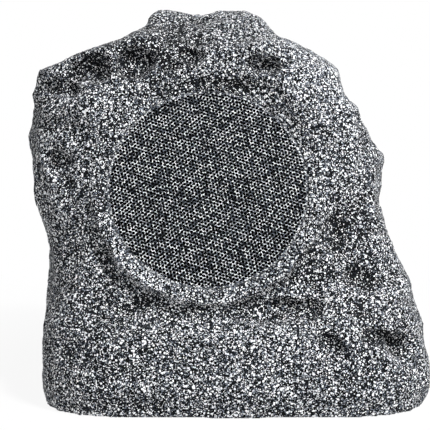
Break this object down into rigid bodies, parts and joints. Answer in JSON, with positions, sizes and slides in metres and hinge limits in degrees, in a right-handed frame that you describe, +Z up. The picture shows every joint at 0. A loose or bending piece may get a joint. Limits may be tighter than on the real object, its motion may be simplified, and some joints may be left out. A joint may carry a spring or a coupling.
{
  "type": "rock shaped garden speaker",
  "caption": "Outdoor speaker in a hollow artificial granite rock, with a round perforated grille in the leaning front face, a coaxial driver behind it and a cable gland at the back.",
  "frame": {"origin": "on the floor under the middle of the object's bounding box", "axes": "+Z up, the grille looks towards -Y, +X to the right seen from the front"},
  "size_m": [0.355, 0.29, 0.339],
  "materials": {
    "rock": "moulded composite with a speckled granite coat, black, grey and white",
    "grille_paint": "perforated sheet in the same speckled granite paint",
    "scrim_cloth": "thin black acoustic cloth",
    "base_plastic": "black moulded plastic",
    "seal_rubber": "black foam rubber",
    "screw_steel": "zinc plated",
    "basket_paint": "black stove enamel on pressed steel",
    "surround_rubber": "matt black rubber",
    "cone_plastic": "black polypropylene",
    "spider_cloth": "treated woven cloth",
    "former_aluminium": "foil",
    "copper": "enamelled copper wire",
    "plate_steel": "zinc plated soft steel",
    "ferrite": "sintered ferrite",
    "fibre_board": "brown fibre sheet",
    "tag_brass": "tinned brass",
    "post_aluminium": "turned",
    "tweeter_plastic": "black moulded plastic",
    "tweeter_metal": "nickel plated magnet and pole disc",
    "dome_film": "thin polymer film",
    "board_laminate": "green lacquered laminate",
    "bobbin_plastic": "moulded plastic",
    "can_sleeve": "shrink sleeve",
    "cement": "white cement body",
    "lead_pvc": "flexible insulation",
    "gland_nylon": "black nylon"
  },
  "bodies": {
    "cabinet": {"rock_shell": "rock", "grille": "grille_paint", "grille_scrim": "scrim_cloth", "base_plate": "base_plastic", "base_gasket": "seal_rubber", "driver_gasket": "seal_rubber", "gland_seal": "seal_rubber", "base_screws": "screw_steel", "driver_screws": "screw_steel", "board_screws": "screw_steel", "post_nut": "screw_steel", "basket": "basket_paint", "surround": "surround_rubber", "spider": "spider_cloth", "inductor_coil": "copper", "front_plate": "plate_steel", "back_plate": "plate_steel", "magnet": "ferrite", "terminal_strip": "fibre_board", "terminal_tags": "tag_brass", "tweeter_post": "post_aluminium", "tweeter_cup": "tweeter_plastic", "tweeter_ring": "tweeter_plastic", "tweeter_magnet": "tweeter_metal", "tweeter_pole": "tweeter_metal", "tweeter_dome": "dome_film", "crossover_board": "board_laminate", "inductor_bobbin": "bobbin_plastic", "input_block": "bobbin_plastic", "woofer_capacitor": "can_sleeve", "tweeter_capacitor": "can_sleeve", "resistor": "cement", "woofer_leads": "lead_pvc", "tweeter_lead": "lead_pvc", "gland_body": "gland_nylon", "gland_cap": "gland_nylon", "gland_locknut": "gland_nylon"},
    "cone_assembly": {"cone": "cone_plastic", "coil_former": "former_aluminium", "voice_coil": "copper"}
  },
  "joints": [
    {"name": "woofer_travel", "type": "slide", "parent": "cabinet", "child": "cone_assembly", "axis": [0, -0.9659, 0.2588], "range_m": [-0.004, 0.004], "stiffness_N_per_m": 1000, "deforming": ["surround", "spider"]}
  ]
}
